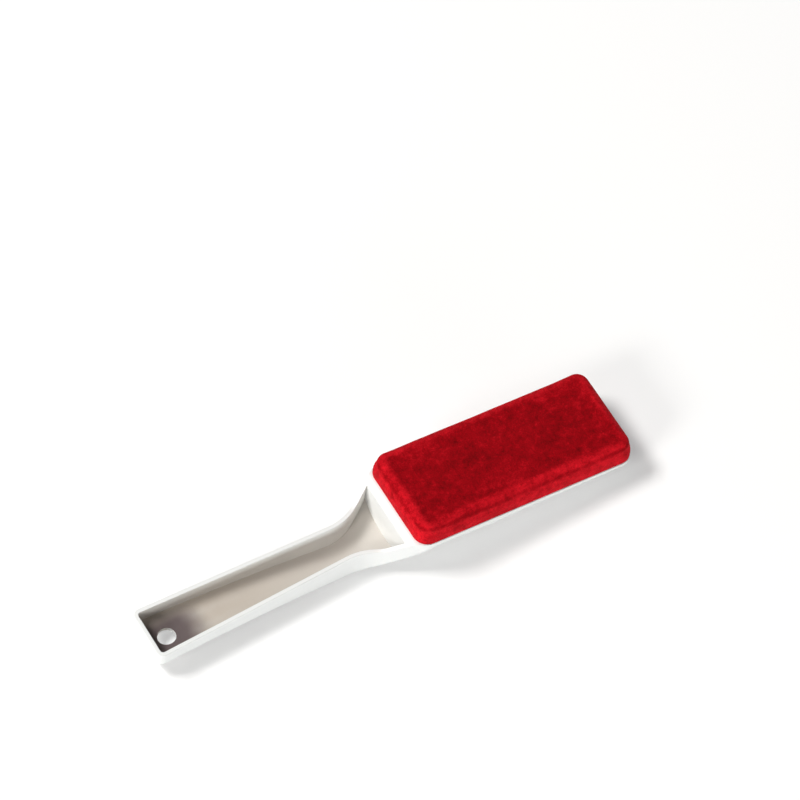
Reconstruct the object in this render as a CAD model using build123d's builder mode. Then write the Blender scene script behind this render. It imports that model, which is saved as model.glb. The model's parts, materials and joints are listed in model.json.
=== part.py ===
from build123d import *
import os
from math import atan2, cos, degrees, hypot, sin

# A clothes brush with a velour pad that swivels on its handle. Millimetres.
#
# Every piece is drawn in the brush's own frame. Its origin is where the pivot's axis crosses the rim
# of the head, x runs to the tip, y across the brush, and z out of the pad. Depths are below that rim.
# The whole frame is tipped a little, because the brush lies on its back: it rests on the edge
# of its button's face and on the lowest part of its handle.

# --- The pad ---
pad_length = 120.0
pad_width = 51.9
pad_corner = 7.0
pad_height = 12.0  # its middle, above the rim
pad_gap = 0.3  # between the rim and the pad
pad_round = 4.6  # rolled edge of the velour
pad_tuck = 1.0  # how far the velour is drawn in round its lower edge
pad_crown = 0.7  # how much its middle stands above its rolled edges
crown_reach = 15.0  # the crown rises over this width inside the rolled edge
crown_corner = 2.4  # plan radius of the crown
velour = 1.3
plate = 2.4

# --- The head's outline ---
rim_show = 0.5  # how far the head stands out past the pad, all round
root_cut = 4.8  # the head's sides start to turn in this far before its end
root_corner = 11.0  # plan radius where they do

# --- The handle's outline, measured from the head's end ---
flare_start = 3.2  # where the shoulders of the head become the flare
flare_width = 42.6
flare_bend = 25.0  # plan radius between shoulder and flare
neck_reach = 21.8
neck_width = 20.4
neck_bend = 26.0  # plan radius between flare and handle
handle_reach = 133.4
handle_end_width = 29.2
handle_corner = 3.6  # plan radius at the hang end

# --- The rim, seen from the side ---
land_reach = 0.8  # flat land behind the head's end
drop_run = 11.6  # the rim then drops over this length
drop_depth = 8.9
rim_end_depth = 21.0  # and goes on to this depth at the hang end
crest_bend = 5.0
foot_bend = 12.0

# --- The back, from the tip to the hang end: how deep its middle lies, and how deep its round would
# be at the sides of the head. Where the handle is narrower, only the middle of that round is left ---
tip_depth = 3.8
tip_edge = 3.2
brow_depth = 12.6  # half way from the tip to the pivot
brow_edge = 3.4
crown_depth = 16.4  # at the pivot
crown_edge = 3.6
heel_depth = 18.6  # half way from the pivot to the head's end
heel_edge = 3.6
root_depth = 21.2  # at the head's end
root_edge = 4.2
neck_depth = 26.8  # the handle is cranked: its back steps down as its rim does
neck_edge = 11.5
shank_reach = 46.0  # just behind the neck
shank_depth = 27.7
shank_edge = 8.5
grip_reach = 84.0  # a good half way along the handle
grip_depth = 28.9
grip_edge = 7.0
handle_end_depth = 34.0
handle_end_edge = 9.0
back_bevel = 1.3  # along the lower edge, all round
back_sections = 16
rest_steps = 200  # places along the back that are tried against the ground

# --- The moulding's walls, and what stands inside the head ---
wall = 2.0
floor_wall = 2.0
pan_corner = 4.0  # plan radius at the pan's inner end
trough_corner = 7.0  # plan radius at the trough's inner end
boss_radius = 8.2
rib_wall = 1.6
rib_drop = 1.2  # ribs and boss stop this far below the rim
swing_clearance = 1.0  # the land ends this far past the circle that the pad's corners sweep

# --- The hang hole ---
hole_radius = 4.6
hole_inset = 11.8  # its centre, from the hang end

# --- The pivot ---
post_radius = 5.2
post_clearance = 0.08  # running fit, on the radius
end_float = 0.3  # between the turning pivot and the handle, along the axis
stem_radius = 3.2
stem_clearance = 0.1
barb_radius = 3.9
barb_length = 3.4
barb_tip_radius = 2.8
ledge_depth = 6.0  # the stem's barb hooks over this ledge in the post
slot_width = 1.4
slot_length = 8.0
button_radius = 10.2
button_thick = 2.5
button_bevel = 0.8
button_clearance = 0.4  # on the radius, in its recess
recess_sink = 1.5  # how far the recess's floor lies above the back's lowest line

# --- Sizes and places worked out from them ---
head_length = pad_length + 2 * rim_show
head_width = pad_width + 2 * rim_show
tip = head_length / 2
head_end = -head_length / 2
hang_end = head_end - handle_reach
half_head = head_width / 2
swing_radius = hypot(pad_length / 2 - pad_corner, pad_width / 2 - pad_corner) + pad_corner
trough_start = -swing_radius - swing_clearance
pan_end = wall / 2 - pad_length / 2  # the pad covers the pan's end wall
recess_depth = crown_depth - recess_sink
button_top = recess_depth + end_float
button_face = button_top + button_thick
margin = 5.0  # how far a cutting form stands past what it cuts
deepest = handle_end_depth + margin
hole_place = hang_end + hole_inset


half_outline = [
    (tip, half_head, pad_corner + rim_show),
    (head_end + root_cut, half_head, root_corner),
    (head_end - flare_start, flare_width / 2, flare_bend),
    (head_end - neck_reach, neck_width / 2, neck_bend),
    (hang_end, handle_end_width / 2, handle_corner),
]
back_stations = [
    (tip + margin, tip_depth, tip_edge),
    (tip / 2, brow_depth, brow_edge),
    (0, crown_depth, crown_edge),
    (head_end / 2, heel_depth, heel_edge),
    (head_end, root_depth, root_edge),
    (head_end - neck_reach, neck_depth, neck_edge),
    (head_end - shank_reach, shank_depth, shank_edge),
    (head_end - grip_reach, grip_depth, grip_edge),
    (hang_end - margin, handle_end_depth, handle_end_edge),
]
back_line = Spline(*back_stations)  # x, middle depth and edge depth along the brush


def rest():
    """The tilt and height at which the brush lies on its back.

    It rocks on the edge of the button's face until a part of the handle's back touches the ground.
    """
    edge_place = button_radius - button_bevel
    tilt = 0
    for step in range(rest_steps + 1):
        reach, middle, edge = back_line @ (step / rest_steps)
        if reach < -button_radius:
            tilt = max(tilt, atan2(middle - button_face, edge_place - reach))
    height = edge_place * sin(tilt) + button_face * cos(tilt)
    return tilt, height


tilt, height = rest()
tip_place = tip * cos(tilt)
hang_place = hang_end * cos(tilt) + (back_bevel - handle_end_depth) * sin(tilt)
brush = Plane(
    origin=(-(tip_place + hang_place) / 2, 0, height),
    x_dir=(cos(tilt), 0, -sin(tilt)),
    z_dir=(sin(tilt), 0, cos(tilt)),
)
side = Plane(origin=brush.origin, x_dir=brush.x_dir, z_dir=-brush.y_dir)
pivot = Axis(brush.origin, brush.z_dir)


def at_depth(depth):
    """The plan plane this far below the rim."""
    return brush.offset(-depth)


def across(x):
    """The plane that cuts the brush square across, with y to the right and z up."""
    return Plane(
        origin=brush.from_local_coords((x, 0, 0)), x_dir=brush.y_dir, z_dir=brush.x_dir
    )


def moulding(inset, lift, start=hang_end - margin, end=tip + margin, corner=0):
    """The moulding's solid form under its rim, from start to end along x.

    Drawn in by inset all round and raised by lift below, it is the hollow inside the walls. The
    sides of the back's sections lean out, so that they never lie in the sides of the outline.
    """
    outline = half_outline + [(x, -y, r) for x, y, r in reversed(half_outline)]
    with BuildPart() as form:
        with BuildSketch(at_depth(-margin)):
            with BuildLine():
                FilletPolyline(
                    *[(x, y) for x, y, r in outline], radius=[r for x, y, r in outline], close=True
                )
            make_face()
            if inset:
                offset(amount=-inset, mode=Mode.REPLACE)
            with Locations(((start + end) / 2, 0)):
                stretch = Rectangle(end - start, 2 * head_width, mode=Mode.INTERSECT)
            if corner:
                cut_ends = stretch.vertices().filter_by(
                    lambda v: min(abs(v.X - start), abs(v.X - end)) < 1e-6
                )
                fillet(cut_ends, radius=corner)
        extrude(amount=-deepest - margin)
        for step in range(back_sections + 1):
            x, middle, edge = back_line @ (step / back_sections)
            with BuildSketch(across(x)):
                with BuildLine():
                    low = ThreePointArc(
                        (-half_head, lift - edge), (0, lift - middle), (half_head, lift - edge)
                    )
                    Polyline(
                        low @ 1,
                        (half_head + margin, 2 * margin),
                        (-half_head - margin, 2 * margin),
                        low @ 0,
                    )
                make_face()
        loft(mode=Mode.INTERSECT)
    return form.part


# --- The hollow of the head: a pan with the pivot's boss and four ribs left standing ---
with BuildPart() as pan:
    add(moulding(wall, floor_wall, start=pan_end, corner=pan_corner))
    with BuildSketch(at_depth(rib_drop)):
        Circle(boss_radius)
        Rectangle(2 * head_length, rib_wall)
        Rectangle(rib_wall, 2 * head_width)
    extrude(amount=-deepest, mode=Mode.SUBTRACT)
    with BuildSketch(at_depth(recess_depth - floor_wall)):
        Circle(button_radius + button_clearance + wall)
    extrude(amount=-deepest, mode=Mode.SUBTRACT)

# --- The hollow of the handle: the trough, which starts clear of the pad's swing ---
with BuildPart() as trough:
    add(moulding(wall, floor_wall, end=trough_start, corner=trough_corner))

# --- The white moulding: head, neck and handle in one ---
with BuildPart() as handle_shell:
    add(moulding(0, 0))
    lower = handle_shell.faces().sort_by(pivot)[0]
    chamfer(lower.edges(), length=back_bevel)
    with BuildSketch(side):
        with BuildLine():
            FilletPolyline(
                (tip + margin, 0),
                (head_end - land_reach, 0),
                (head_end - land_reach - drop_run, -drop_depth),
                (hang_end - margin, -rim_end_depth),
                (hang_end - margin, -deepest),
                (tip + margin, -deepest),
                radius=[0, crest_bend, foot_bend, 0, 0, 0],
                close=True,
            )
        make_face()
    extrude(amount=head_width, both=True, mode=Mode.INTERSECT)
    add(pan.part, mode=Mode.SUBTRACT)
    add(trough.part, mode=Mode.SUBTRACT)
    with BuildSketch(at_depth(0)):
        Circle(post_radius + post_clearance)
    extrude(amount=-deepest, mode=Mode.SUBTRACT)
    with BuildSketch(at_depth(recess_depth)):
        Circle(button_radius + button_clearance)
    extrude(amount=-deepest, mode=Mode.SUBTRACT)
    with BuildSketch(at_depth(0)):
        with Locations((hole_place, 0)):
            Circle(hole_radius)
    extrude(amount=-2 * deepest, mode=Mode.SUBTRACT)


def pad_form(inset, bottom):
    """The pad's form from bottom up, drawn in by inset at its sides and its top.

    Its edge is rolled, and its top rises gently from the rolled edge to the crown.
    """
    level = pad_height - pad_crown - inset
    with BuildPart() as form:
        with BuildSketch(at_depth(-bottom)):
            RectangleRounded(pad_length - 2 * inset, pad_width - 2 * inset, pad_corner - inset)
        extrude(amount=level - bottom)
        upper = form.faces().sort_by(pivot)[-1]
        fillet(upper.edges(), radius=pad_round - inset)
        for rise, sink in ((0, pad_round), (pad_crown, pad_round + crown_reach)):
            with BuildSketch(at_depth(-level - rise)):
                RectangleRounded(pad_length - 2 * sink, pad_width - 2 * sink, crown_corner)
        loft()
    return form.part


# --- The pad: a red plate with the hollow pivot post, a foam block, and the velour over both ---
plate_top = pad_gap + plate

with BuildPart() as pad_base:
    with BuildSketch(at_depth(-pad_gap)):
        RectangleRounded(pad_length - 2 * velour, pad_width - 2 * velour, pad_corner - velour)
    extrude(amount=plate)
    with BuildSketch(at_depth(-pad_gap)):
        Circle(boss_radius)
    extrude(amount=-pad_gap - rib_drop + end_float)
    with BuildSketch(at_depth(0)):
        Circle(post_radius)
    extrude(amount=-button_top)
    with BuildSketch(at_depth(0)):
        Circle(stem_radius + stem_clearance)
    extrude(amount=-button_top, mode=Mode.SUBTRACT)
    with BuildSketch(at_depth(ledge_depth)):
        Circle(barb_radius + stem_clearance)
    extrude(amount=ledge_depth + plate_top, mode=Mode.SUBTRACT)

with BuildPart() as foam_cushion:
    add(pad_form(velour, plate_top))

with BuildPart() as velour_cover:
    add(pad_form(0, pad_gap))
    hem = velour_cover.faces().sort_by(pivot)[0]
    chamfer(hem.edges(), length=pad_tuck)
    add(pad_form(velour, -margin), mode=Mode.SUBTRACT)

# --- The button, whose split stem snaps into the post and holds the pad on the handle ---
barb_seat = ledge_depth - stem_clearance
stem_top = barb_seat - barb_length

with BuildPart() as pivot_button:
    with BuildSketch(side):
        with BuildLine():
            Polyline(
                (0, -button_face),
                (button_radius - button_bevel, -button_face),
                (button_radius, button_bevel - button_face),
                (button_radius, -button_top),
                (stem_radius, -button_top),
                (stem_radius, -barb_seat),
                (barb_radius, -barb_seat),
                (barb_tip_radius, -stem_top),
                (0, -stem_top),
                close=True,
            )
        make_face()
    revolve(axis=pivot)
    with BuildSketch(at_depth(stem_top)):
        Rectangle(slot_width, 4 * stem_radius)
    extrude(amount=-slot_length, mode=Mode.SUBTRACT)

# --- Write the pieces ---
os.makedirs("parts", exist_ok=True)
pieces = {
    "handle_shell": handle_shell,
    "pad_base": pad_base,
    "foam_cushion": foam_cushion,
    "velour_cover": velour_cover,
    "pivot_button": pivot_button,
}
for name, piece in pieces.items():
    piece.part.label = name
    export_step(piece.part, f"parts/{name}.step")

print(f"tipped {degrees(tilt):.3f} degrees, the rim's middle stands {height:.3f} mm up")
print(f"pivot at {tuple(brush.origin)}, axis {tuple(brush.z_dir)}")
line = [back_line @ (step / rest_steps) for step in range(rest_steps + 1)]
hole_depth = min(line, key=lambda point: abs(point.X - hole_place)).Y - floor_wall / 2
print(f"hang hole at {tuple(brush.from_local_coords((hole_place, 0, -hole_depth)))}")
print("trough starts at", round(trough_start, 2), "and the pad sweeps", round(swing_radius, 2))
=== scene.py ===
# %% [markdown]
# # A clothes brush with a swivelling velour pad
#
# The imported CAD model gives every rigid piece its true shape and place. This notebook adds what a
# camera needs: the photograph's viewpoint, soft light, the finish of each plastic piece, and the
# velour pad, which is cloth over foam and is therefore modelled again here as a soft thing.
#
# All lengths are in metres, in the same frame as the CAD model, so nothing has to be fitted by
# eye. `MM` is a millimetre.

import json
from math import cos, degrees, pi, radians, sin

import bmesh
import bpy
from mathutils import Matrix, Vector, noise


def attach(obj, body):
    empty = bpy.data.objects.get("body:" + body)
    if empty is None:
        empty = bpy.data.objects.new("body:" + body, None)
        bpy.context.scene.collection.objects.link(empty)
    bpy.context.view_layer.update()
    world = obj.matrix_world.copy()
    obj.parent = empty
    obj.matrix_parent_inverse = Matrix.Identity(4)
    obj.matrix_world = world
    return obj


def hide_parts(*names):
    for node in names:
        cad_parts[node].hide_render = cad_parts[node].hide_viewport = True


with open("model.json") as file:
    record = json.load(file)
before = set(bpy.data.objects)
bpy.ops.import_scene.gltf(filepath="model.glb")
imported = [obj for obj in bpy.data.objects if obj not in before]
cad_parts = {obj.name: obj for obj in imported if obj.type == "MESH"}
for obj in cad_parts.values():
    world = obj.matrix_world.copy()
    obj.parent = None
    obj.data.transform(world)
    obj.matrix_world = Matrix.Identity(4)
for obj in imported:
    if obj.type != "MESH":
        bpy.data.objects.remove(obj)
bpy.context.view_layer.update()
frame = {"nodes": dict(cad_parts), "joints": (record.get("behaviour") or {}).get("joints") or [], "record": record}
MM = 0.001


def in_mm(lengths):
    """These lengths in millimetres, for printing."""
    return [round(length / MM, 1) for length in lengths]


# %% [markdown]
# ## The brush's own directions
#
# The brush lies on its back, tipped a few degrees. Its pad turns about one hinge, so the hinge's
# axis is the pad's own "up", and the hinge's place is the middle of the head's rim. Working in
# those directions keeps the pad's numbers round, and one matrix carries them into the scene.

# %% The head's own axes
swivel = frame["joints"][0]
swivel_place = Vector(swivel["pos_m"])
pad_up = Vector(swivel["axis"]).normalized()
pad_across = Vector((0, 1, 0))
pad_along = pad_across.cross(pad_up)
head_turn = Matrix((pad_along, pad_across, pad_up)).transposed().to_4x4()
head = Matrix.Translation(swivel_place) @ head_turn
print("the head is tipped", round(degrees(pad_up.angle(Vector((0, 0, 1)))), 2), "degrees")

# %% [markdown]
# ## The camera
#
# The viewpoint was solved from the photograph: the pad's outline fixes where the camera stands,
# and where the pad lands in the picture fixes where it looks. A long lens, far away, gives the
# flat perspective of a catalogue picture. The picture is 800 pixels square.

# %% Stand the camera where the photograph was taken
PICTURE = 800
target = Vector((0, 0, 0.018))
azimuth, elevation, distance = radians(-29.42), radians(58.46), 2.5
pixels_per_metre = 2080
target_pixel = (379.1, 522.6)

toward_camera = Vector(
    (sin(azimuth) * cos(elevation), -cos(azimuth) * cos(elevation), sin(elevation))
)
picture_right = Vector((cos(azimuth), sin(azimuth), 0))
picture_up = toward_camera.cross(picture_right)
aim = (
    target
    + picture_right * (PICTURE / 2 - target_pixel[0]) / pixels_per_metre
    + picture_up * (target_pixel[1] - PICTURE / 2) / pixels_per_metre
)

lens = bpy.data.cameras.new("camera")
lens.sensor_width = 36
lens.lens = lens.sensor_width * pixels_per_metre * distance / PICTURE
camera = bpy.data.objects.new("camera", lens)
bpy.context.scene.collection.objects.link(camera)
stand = target + toward_camera * distance
back = (stand - aim).normalized()
right = picture_up.cross(back).normalized()
camera_turn = Matrix((right, back.cross(right), back)).transposed().to_4x4()
camera.matrix_world = Matrix.Translation(stand) @ camera_turn
bpy.context.scene.camera = camera
bpy.context.scene.view_settings.view_transform = "Standard"
print("lens", round(lens.lens), "mm")

# %% [markdown]
# ## Writing shader maths as sums
#
# A procedural material is a small calculation at every point of a surface. Blender draws it as
# nodes and wires. This class wraps one wire, so the calculation can be written as ordinary
# Python: adding two wires adds a Math node. Whatever isn't arithmetic comes from `add`, which
# makes a node of any kind.

# %% A wire through a material
class Wire:
    """A number, colour or vector on its way through a material."""

    def __init__(self, socket):
        self.socket = socket

    def add(self, kind, sockets, output=0, stops=None, **settings):
        """Adds a node, makes its settings, then fills its sockets with numbers or other wires."""
        node = self.socket.id_data.nodes.new(kind)
        for setting, value in settings.items():
            setattr(node, setting, value)
        if stops:
            ramp = node.color_ramp
            while len(ramp.elements) < len(stops):
                ramp.elements.new(1)
            for element, (position, colour) in zip(ramp.elements, stops):
                element.position, element.color = position, (*colour, 1)
        for name, value in sockets.items():
            if isinstance(value, Wire):
                value.feed(node.inputs[name])
            else:
                node.inputs[name].default_value = value
        return Wire(node.outputs[output])

    def feed(self, socket):
        """Plugs this wire into a socket."""
        self.socket.id_data.links.new(self.socket, socket)

    def math(self, operation, *others):
        """One Math node that takes this value first."""
        return self.add("ShaderNodeMath", dict(enumerate((self, *others))), operation=operation)

    def __add__(self, other):
        return self.math("ADD", other)

    def __sub__(self, other):
        return self.math("SUBTRACT", other)

    def __rsub__(self, other):
        return self.add("ShaderNodeMath", {0: other, 1: self}, operation="SUBTRACT")

    def __mul__(self, other):
        return self.math("MULTIPLY", other)

    __radd__ = __add__
    __rmul__ = __mul__

    def rise(self, start, end):
        """0 below start, 1 above end, and smooth between. With start above end it falls instead."""
        return self.add(
            "ShaderNodeMapRange",
            {"Value": self, "From Min": start, "From Max": end},
            interpolation_type="SMOOTHSTEP",
        )

    def scaled(self, x, y, z):
        """The place, stretched along each direction."""
        return self.add("ShaderNodeVectorMath", {0: self, 1: (x, y, z)}, operation="MULTIPLY")

    def measured(self, operation, other):
        """One number from this vector and a fixed one."""
        vectors = {0: self, 1: tuple(other)}
        return self.add("ShaderNodeVectorMath", vectors, output="Value", operation=operation)

    def along(self, direction):
        """How far the place lies along a direction."""
        return self.measured("DOT_PRODUCT", direction)

    def from_swivel(self, direction):
        """How far the place lies beyond the swivel, along one of the head's own directions."""
        return self.along(direction) - swivel_place.dot(direction)

    def grain(self, size, detail=2.0, rough=0.5):
        """Soft noise between 0 and 1 whose lumps are about this many metres across."""
        sockets = {"Vector": self, "Scale": 1 / size, "Detail": detail, "Roughness": rough}
        return self.add("ShaderNodeTexNoise", sockets)

    def tinted(self, first, second):
        """A colour that goes from first to second as this value goes from 0 to 1."""
        colours = [c if isinstance(c, Wire) else (*c, 1) for c in (first, second)]
        return self.add(
            "ShaderNodeMix", {0: self, 6: colours[0], 7: colours[1]}, output=2, data_type="RGBA"
        )


def new_finish(name, **constants):
    """A material with these constants, its shader, and a wire that carries the place in metres."""
    finish = bpy.data.materials.new(name)
    finish.use_nodes = True
    shader = finish.node_tree.nodes["Principled BSDF"]
    for socket, value in constants.items():
        shader.inputs[socket.replace("_", " ")].default_value = value
    coordinates = finish.node_tree.nodes.new("ShaderNodeTexCoord")
    return finish, shader, Wire(coordinates.outputs["Object"])


print("shader maths is ready")

# %% [markdown]
# ## The table top
#
# The photograph's ground is plain white. A white sheet under soft light would come out a pale
# grey, so about a fifth of what the camera sees of the floor is plain white that needs no light,
# and the rest is white paper under the lamps. The shadow stays, and no lamp has to be turned up
# for the background's sake. Light that bounces off the floor onto the brush comes from an
# ordinary pale floor.

# %% A plain white floor
PLAIN_SHARE = 0.22
FLOOR_HALF = 3.0
FLOOR_DROP = 0.00003  # so that the floor never cuts the points the brush rests on
CORNERS = ((1, 1), (-1, 1), (-1, -1), (1, -1))


def white_floor():
    finish = bpy.data.materials.new("white_floor")
    finish.use_nodes = True
    tree = finish.node_tree
    tree.nodes.clear()
    rays = tree.nodes.new("ShaderNodeLightPath").outputs
    seen = Wire(rays["Is Camera Ray"])
    for kind in ("Is Glossy Ray", "Is Transmission Ray"):
        seen = seen.math("MAXIMUM", Wire(rays[kind]))
    paper = seen.add("ShaderNodeBsdfDiffuse", {"Color": seen.tinted((0.8, 0.8, 0.8), (1, 1, 1))})
    glow = seen.add("ShaderNodeEmission", {"Color": (1, 1, 1, 1), "Strength": 1.0})
    both = seen.add("ShaderNodeMixShader", {0: seen * PLAIN_SHARE, 1: paper, 2: glow})
    both.feed(tree.nodes.new("ShaderNodeOutputMaterial").inputs["Surface"])
    return finish


floor_points = [(x * FLOOR_HALF, y * FLOOR_HALF, -FLOOR_DROP) for x, y in CORNERS]
floor_mesh = bpy.data.meshes.new("floor")
floor_mesh.from_pydata(floor_points, [], [(0, 1, 2, 3)])
floor_mesh.materials.append(white_floor())
floor = bpy.data.objects.new("floor", floor_mesh)
bpy.context.scene.collection.objects.link(floor)
print("floor", 2 * FLOOR_HALF, "m wide")

# %% [markdown]
# ## The light
#
# Four soft sources, as in a small product studio. A dim white room fills everything. A large
# lamp, high behind and to the left, throws the soft shadow to the near side. A lower lamp off the
# hang end rakes along the handle, so that the trough's end wall shades the hang hole and the step
# at the head catches the light. A long panel, low on the near side, brightens the sides that face
# the camera, and reaches almost nothing inside the trough.

# %% Lamps
room = bpy.data.worlds.new("room")
room.use_nodes = True
background = room.node_tree.nodes["Background"].inputs
background["Color"].default_value = (1, 1, 1, 1)
background["Strength"].default_value = 0.2
bpy.context.scene.world = room


def soft_lamp(name, bearing, height, away, size, power, colour):
    """A flat lamp facing the brush. Angles are in degrees, and bearing 0 is off the tip."""
    lamp = bpy.data.lights.new(name, "AREA")
    lamp.shape = "RECTANGLE"
    lamp.size, lamp.size_y = size
    lamp.energy = power
    lamp.color = colour
    holder = bpy.data.objects.new(name, lamp)
    bearing, height = radians(bearing), radians(height)
    toward = Vector((cos(bearing) * cos(height), sin(bearing) * cos(height), sin(height)))
    holder.location = target + toward * away
    holder.rotation_mode = "QUATERNION"
    holder.rotation_quaternion = toward.to_track_quat("Z", "Y")
    bpy.context.scene.collection.objects.link(holder)
    print(name, "lights white paper to", round(power / (pi * away) ** 2, 2), "of full white")


soft_lamp("back_lamp", 143, 56, away=5.0, size=(1.8, 1.4), power=196.0, colour=(1.0, 0.99, 0.97))
soft_lamp("end_lamp", 198, 28, away=4.5, size=(1.4, 1.0), power=80.0, colour=(1.0, 0.98, 0.95))
soft_lamp("near_panel", 264, 8, away=1.6, size=(2.0, 0.3), power=11.0, colour=(0.97, 0.99, 1.0))

# %% [markdown]
# ## Painted shade in the trough
#
# The trough is coloured a warm grey by painted shade. Ambient occlusion measures how much of its
# surroundings a point can't see, and the colour is darkened there, as shade would fall in a recess.
# The trough's side walls get less of this painted shade, the wall below the head gets none, and
# the pan under the pad gets about a third. Toward the head there is a little less of it.

# %% Where the trough's shade is painted
TROUGH_START = -60 * MM  # along the head, from the swivel


def painted_trough_shade(place, facing, cloud):
    """How much painted shade darkens a place, from 0 to 1."""
    open_air = place.add(
        "ShaderNodeAmbientOcclusion",
        {"Distance": 16 * MM},
        output="AO",
        samples=20,
        only_local=True,
    )
    # Painted shade: the colour is darkened where ambient occlusion finds a recess.
    crevice = (1 - open_air) * (0.85 + 0.3 * cloud)
    head_wall = facing.along(pad_along).rise(-0.4, -0.8)
    across = facing.along(pad_across)
    # The side walls get less painted shade, so they come out lighter.
    walls_spared = 0.6 * across.rise(0.35, 0.9) + 0.45 * across.rise(-0.35, -0.9)
    along = place.from_swivel(pad_along)
    in_trough = along.rise(TROUGH_START, TROUGH_START - 4 * MM)
    near_head = along.rise(-170 * MM, -80 * MM)
    shade_share = (1 - head_wall) * (1 - walls_spared) * (0.35 + 0.65 * in_trough) * (1 - 0.3 * near_head)
    return crevice.rise(0.02, 0.17) * shade_share


print("the grimy trough starts", -TROUGH_START / MM, "mm behind the swivel")

# %% [markdown]
# Round the hang hole the grey is painted far darker, a painted shade for the pocket at the hang end.
# This painted shade lies on the trough's floor alone. It is full within a centimetre of the hole's
# middle, gone at two and a half, uneven at its edge, and fades before it comes to the far wall.

# %% Where shade is painted round the hang hole
hang_hole = frame["record"]["mounts"][0]["pos_m"]


def painted_hole_shade(place, facing, cloud):
    """How dark the painted shade round the hang hole is at a place, from 0 to 1."""
    deep = place.from_swivel(pad_up).rise(-23.5 * MM, -26.5 * MM)  # only the trough's floor
    faces_up = facing.along(pad_up).rise(0.3, 0.8)
    off_far_wall = place.along(pad_across).rise(14 * MM, 5 * MM)
    uneven_reach = place.measured("DISTANCE", hang_hole) + 6 * MM * (cloud - 0.5)
    return uneven_reach.rise(25 * MM, 10 * MM) * (faces_up * deep * off_far_wall)


print("the hang hole is at", in_mm(hang_hole), "mm")

# %% [markdown]
# ## White plastic: the moulding
#
# The handle and the head's pan are one injection moulding in glossy white plastic. Close up, such
# a surface isn't quite even: it ripples like orange peel, and it is rubbed dull where a hand
# holds it. The edges are rounded by a bevel in the shading, which costs no geometry.

# %% The moulding's finish
def uneven_skin(place, shader, ripple, strength, edge_radius):
    """Rounds a moulding's edges and ripples its skin, in the shading alone."""
    rounded = place.add("ShaderNodeBevel", {"Radius": edge_radius}, samples=6)
    sockets = {"Strength": strength, "Distance": 0.1 * MM, "Height": ripple, "Normal": rounded}
    place.add("ShaderNodeBump", sockets).feed(shader.inputs["Normal"])


def moulded_white():
    finish, shader, place = new_finish("white_plastic", IOR=1.48)
    facing = Wire(place.socket.node.outputs["Normal"])
    cloud = place.grain(12 * MM, detail=4)
    # Painted shade: the trough's warm grey and the dark round the hang hole are mixed into the white.
    trough_shade = painted_trough_shade(place, facing, cloud)
    hole_shade = painted_hole_shade(place, facing, cloud)
    unshaded_white, shade_painted, hole_shade_colour = (0.84, 0.85, 0.84), (0.5, 0.44, 0.375), (0.1, 0.07, 0.075)
    (0.92 * hole_shade).tinted(trough_shade.tinted(unshaded_white, shade_painted), hole_shade_colour).feed(shader.inputs["Base Color"])
    handled = place.grain(30 * MM, detail=3).rise(0.35, 0.75)
    dullness = 0.32 + 0.1 * handled + 0.2 * trough_shade + 0.06 * place.grain(1.5 * MM)
    dullness.feed(shader.inputs["Roughness"])
    ripple = place.grain(2.2 * MM, detail=1) + 0.5 * place.grain(0.6 * MM, detail=1)
    uneven_skin(place, shader, ripple, strength=0.12, edge_radius=0.5 * MM)
    return finish


def dress(node, finish):
    """Gives a CAD piece its finish. Its shape stays as it is."""
    slots = frame["nodes"][node].data.materials
    slots.clear()
    slots.append(finish)
    print(node, "is finished in", finish.name)


dress("handle_shell", moulded_white())

# %% [markdown]
# ## Red plastic: the plate and the pivot's button
#
# The pad is built on a red plate, and the same red is used for the button that snaps in from the
# back. Both are plain mouldings with a half-gloss skin. The red varies a little, as pigment does
# where the plastic flowed. Little of them shows: the plate's underside when the pad is turned
# aside, and the button on the brush's back.

# %% The red mouldings' finish
def moulded_red():
    finish, shader, place = new_finish("red_plastic", IOR=1.48)
    flow = place.scaled(1, 1, 3).grain(8 * MM, detail=3)
    flow.tinted((0.34, 0.008, 0.014), (0.46, 0.014, 0.022)).feed(shader.inputs["Base Color"])
    (0.3 + 0.14 * place.grain(4 * MM, detail=3)).feed(shader.inputs["Roughness"])
    uneven_skin(place, shader, place.grain(0.9 * MM), strength=0.15, edge_radius=0.3 * MM)
    return finish


red_plastic = moulded_red()
dress("pad_base", red_plastic)
dress("pivot_button", red_plastic)

# %% [markdown]
# ## The pad's form
#
# The pad is a block of foam on the plate, with velour drawn over it and round the plate's edge. A
# box with bevelled edges would give one even round all over, so the form is built as rings
# instead. Each ring is a rounded rectangle at some height, drawn in from the pad's outline by some
# distance, and the side's profile is only a short list of pairs. The outline is measured on the
# CAD model's own cover.

# %% Rings of a rounded rectangle
cover_mesh = frame["nodes"]["velour_cover"].data
cover = [head.inverted() @ vertex.co for vertex in cover_mesh.vertices]
pad_length = 2 * max(abs(point.x) for point in cover)
pad_width = 2 * max(abs(point.y) for point in cover)
pad_bottom = min(point.z for point in cover)
pad_top = max(point.z for point in cover)
print("pad", in_mm((pad_length, pad_width, pad_top - pad_bottom)), "mm")

PAD_CORNER = 7 * MM
LEAST_CORNER = 2.4 * MM
ARC_STEPS = 12
SPACING = 1 * MM
run_steps = [round((side - 2 * PAD_CORNER) / SPACING) for side in (pad_length, pad_width)]


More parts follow.
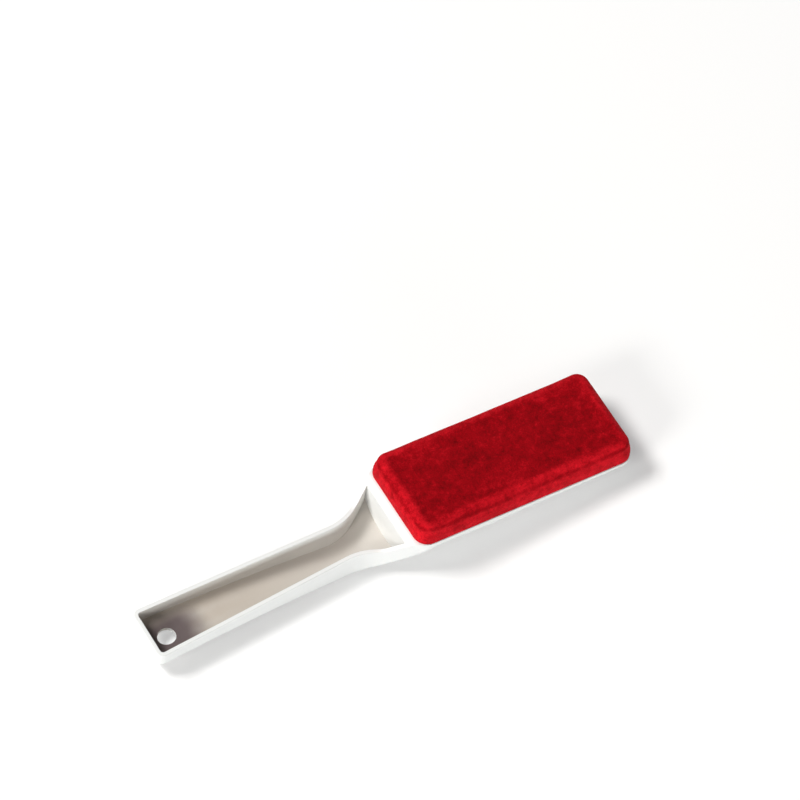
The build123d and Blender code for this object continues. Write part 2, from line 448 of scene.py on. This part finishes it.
def ring(inset, height):
    """Points round the pad at one height. Every ring has the same number, at the same bearings."""
    half_x, half_y = pad_length / 2 - inset, pad_width / 2 - inset
    radius = max(PAD_CORNER - inset, min(LEAST_CORNER, half_y))
    x, y = half_x - radius, half_y - radius
    centres = [Vector((x_sign * x, y_sign * y, height)) for x_sign, y_sign in CORNERS]
    points = []
    for turn, centre in enumerate(centres):
        angles = [pi / 2 * (turn + step / ARC_STEPS) for step in range(ARC_STEPS + 1)]
        arc = [radius * Vector((cos(angle), sin(angle), 0)) for angle in angles]
        start, end = centre + arc[-1], centres[(turn + 1) % 4] + arc[-1]
        steps = run_steps[turn % 2]
        points += [centre + out for out in arc[:-1]]
        points += [start.lerp(end, step / steps) for step in range(steps)]
    return points


print("a ring has", len(ring(0, 0)), "points")

# %% [markdown]
# The profile starts under the pad, goes round a full hem that stands close to the rim, and up a
# side that leans in to a shallow groove below the roll. Over the roll there is a bead along the
# edge, where the cloth bunches, then a dip of a third of a millimetre, and from there the top is
# crowned to the middle. The numbers were read from the photograph's bands of light and dark along
# the near side.

# %% The velour pad
profile = [  # drawn in by, and height above the rim, in millimetres
    # under the pad
    (12.0, 2.8), (1.5, 2.8), (1.5, 0.5),
    # the hem
    (1.1, 0.16), (0.5, 0.12), (0.0, 0.16), (-0.28, 0.4), (-0.36, 0.9), (-0.38, 1.8), (-0.34, 2.8),
    # the side, up to the groove
    (-0.25, 3.8), (-0.1, 4.8), (0.12, 5.7), (0.4, 6.5), (0.64, 7.3), (0.8, 8.0), (0.88, 8.6),
    # the roll
    (0.98, 9.2), (1.16, 9.8), (1.46, 10.35), (1.9, 10.85), (2.5, 11.25),
    # the bead along the edge, and the dip inside it
    (3.2, 11.5), (4.0, 11.6), (4.8, 11.56), (5.6, 11.44), (6.4, 11.32), (7.2, 11.28),
    # the crowned top, to the middle
    (8.2, 11.34), (9.6, 11.46), (11.4, 11.6), (13.6, 11.74), (16.2, 11.86), (18.9, 11.94),
    (21.5, 11.98), (23.9, pad_top / MM),
]


def build_pad():
    rings = [ring(inset * MM, height * MM) for inset, height in profile]
    count = len(rings[0])
    points = [point for loop in rings for point in loop]
    faces = []
    for level in range(len(rings) - 1):
        for step in range(count):
            a, b = level * count + step, level * count + (step + 1) % count
            faces.append((a, b, b + count, a + count))
    faces.append(tuple(range(count))[::-1])  # closes the pad below
    faces.append(tuple(range(len(points) - count, len(points))))  # and in the middle of its top
    mesh = bpy.data.meshes.new("velour_pad")
    mesh.from_pydata(points, [], faces)
    work = bmesh.new()
    work.from_mesh(mesh)
    bmesh.ops.remove_doubles(work, verts=work.verts, dist=0.2 * MM)
    bmesh.ops.triangulate(work, faces=[face for face in work.faces if len(face.verts) > 4])
    work.to_mesh(mesh)
    work.free()
    return mesh


pad_mesh = build_pad()
print("pad form:", len(pad_mesh.vertices), "points")

# %% [markdown]
# Velour isn't a machined surface. Sculpting by hand would show that well, but it can't be repeated
# by a script. So the points are moved by a smooth noise of a few tenths of a millimetre, and the
# long sides draw in a little between the corners.

# %% Make the form uneven
def unsettle(mesh, glued=3.2 * MM, side=3 * MM):
    """Moves the points above the glued hem a little, as foam that is cut by hand is never even."""
    for vertex in mesh.vertices:
        place = vertex.co.copy()
        if place.z > glued:
            broad, fine = noise.noise(place * 34), noise.noise(place * 95 + Vector((3, 7, 1)))
            on_side = abs(place.y) > pad_width / 2 - side
            bow = 0.3 * (1 - (2 * place.x / pad_length) ** 2) if on_side else 0
            inward = -bow if place.y > 0 else bow
            vertex.co = place + Vector((0, inward, 0.3 * broad + 0.16 * fine)) * MM


unsettle(pad_mesh)
crown = max(vertex.co.z for vertex in pad_mesh.vertices)
print("the pad now rises", in_mm([crown])[0], "mm above the rim")

# %% [markdown]
# The form is still too exact for cloth. The foam under a real cover pushes outwards, and the
# cover gives a little between its glued hem and the flat of the foam. Blender's cloth solver does
# the same: the hem and the flat are held, pressure stands for the foam, and after a few frames
# the sides have swollen between the corners. The solver is tuned for things about a metre long,
# so the form is simulated ten times as large. How far a point may move is capped, so that the
# head's white rim still shows below the pad.

# %% Let the foam push the velour out
def is_held(place, hem=2.9 * MM, edge=8.5 * MM):
    """True for the glued hem, and for the flat of the top inside the pad's edge."""
    on_flat = abs(place.x) < pad_length / 2 - edge and abs(place.y) < pad_width / 2 - edge
    return on_flat or place.z < hem


def push_out(mesh, frames=6, enlarged=10, pressure=2, cap=0.45 * MM):
    trial = bpy.data.objects.new("trial", mesh.copy())
    trial.data.transform(Matrix.Scale(enlarged, 4))
    bpy.context.scene.collection.objects.link(trial)
    held = trial.vertex_groups.new(name="held")
    held.add([vertex.index for vertex in mesh.vertices if is_held(vertex.co)], 1.0, "REPLACE")
    cloth = trial.modifiers.new("cloth", "CLOTH").settings
    cloth.vertex_group_mass = held.name
    cloth.use_pressure = True
    cloth.uniform_pressure_force = pressure
    cloth.effector_weights.gravity = 0
    for number in range(1, frames + 1):
        bpy.context.scene.frame_set(number)
    pushed = trial.evaluated_get(bpy.context.evaluated_depsgraph_get()).data
    pairs = zip(mesh.vertices, pushed.vertices)
    moves = [after.co / enlarged - before.co for before, after in pairs]
    print("pushed out by up to", round(max(move.length for move in moves) / MM, 2), "mm")
    for vertex, move in zip(mesh.vertices, moves):
        vertex.co += move * min(1, cap / max(move.length, 1e-9))
    bpy.data.objects.remove(trial)
    bpy.context.scene.frame_set(1)


push_out(pad_mesh)

# %% [markdown]
# The finished form becomes an object in the brush's own place. It rides on the body that turns,
# and stands for the CAD model's plain cover and foam.

# %% Put the pad on the brush
pad_mesh.transform(head)
pad_mesh.update()
velour_pad = bpy.data.objects.new("velour_pad", pad_mesh)
bpy.context.scene.collection.objects.link(velour_pad)
for face in pad_mesh.polygons:
    face.use_smooth = True
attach(velour_pad, "pad")
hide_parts("velour_cover", "foam_cushion")
print("velour pad:", len(pad_mesh.vertices), "points,", len(pad_mesh.polygons), "faces")

# %% [markdown]
# ## Velour
#
# Velour is a short cut pile. Seen straight on, one looks down between the fibres and it is deep
# red. At a glancing angle the tips catch the light and it turns lighter, which is what the
# shader's sheen does. The pile leans one way, and strokes of the hand leave broad faint patches.
# The fibres themselves are far finer than a pixel, so they are a fine bump and a fine mottling of
# the colour.
#
# On the bead and on the lower side the colour is painted lighter, a painted sheen where these faces
# catch the light. Both are found from the place alone: height is measured from the rim, and the
# inset says how far inside the pad's rounded outline a point lies, seen from above.

# %% The velour's finish
def inset_from_outline(along, across):
    """How far a point lies inside the pad's outline, a rectangle with rounded corners."""
    past_x = along.math("ABSOLUTE") - (pad_length / 2 - PAD_CORNER)
    past_y = across.math("ABSOLUTE") - (pad_width / 2 - PAD_CORNER)
    round_x, round_y = past_x.math("MAXIMUM", 0.0), past_y.math("MAXIMUM", 0.0)
    in_corner = (round_x * round_x + round_y * round_y).math("SQRT")
    in_middle = past_x.math("MAXIMUM", past_y).math("MINIMUM", 0.0)
    return PAD_CORNER - (in_corner + in_middle)


def red_velour():
    finish, shader, place = new_finish(
        "velour",
        Sheen_Weight=0.5,
        Sheen_Roughness=0.35,
        Sheen_Tint=(1.0, 0.07, 0.09, 1),
        Specular_IOR_Level=0.08,
    )
    inset = inset_from_outline(place.from_swivel(pad_along), place.from_swivel(pad_across))
    # Painted sheen: the bead and the lower side are painted lighter.
    bead = inset.rise(1.0 * MM, 2.4 * MM) * inset.rise(7.2 * MM, 4.0 * MM)
    side = place.from_swivel(pad_up).rise(10.2 * MM, 7.4 * MM)
    strokes = place.scaled(0.6, 1.5, 1).grain(22 * MM, detail=3, rough=0.6)
    mottle = place.grain(5 * MM, detail=4, rough=0.85)
    fibre = place.grain(0.7 * MM, detail=2, rough=0.7)
    uneven = 0.2 * strokes + 0.55 * mottle + 0.25 * fibre - 0.5
    shade = 0.3 + 2.3 * uneven + 0.24 * bead + 0.3 * side
    stops = [
        (0.0, (0.16, 0.0002, 0.0018)),  # down between the fibres
        (0.35, (0.33, 0.0005, 0.0045)),  # the pile
        (1.0, (0.84, 0.011, 0.023)),  # its tips
    ]
    shade.add("ShaderNodeValToRGB", {"Fac": shade}, stops=stops).feed(shader.inputs["Base Color"])
    (0.8 + 0.2 * fibre).feed(shader.inputs["Roughness"])
    sockets = {"Strength": 0.7, "Distance": 0.6 * MM, "Height": 0.6 * fibre + 0.9 * mottle}
    place.add("ShaderNodeBump", sockets).feed(shader.inputs["Normal"])
    return finish


velour_pad.data.materials.append(red_velour())
print("velour_pad is finished in velour")
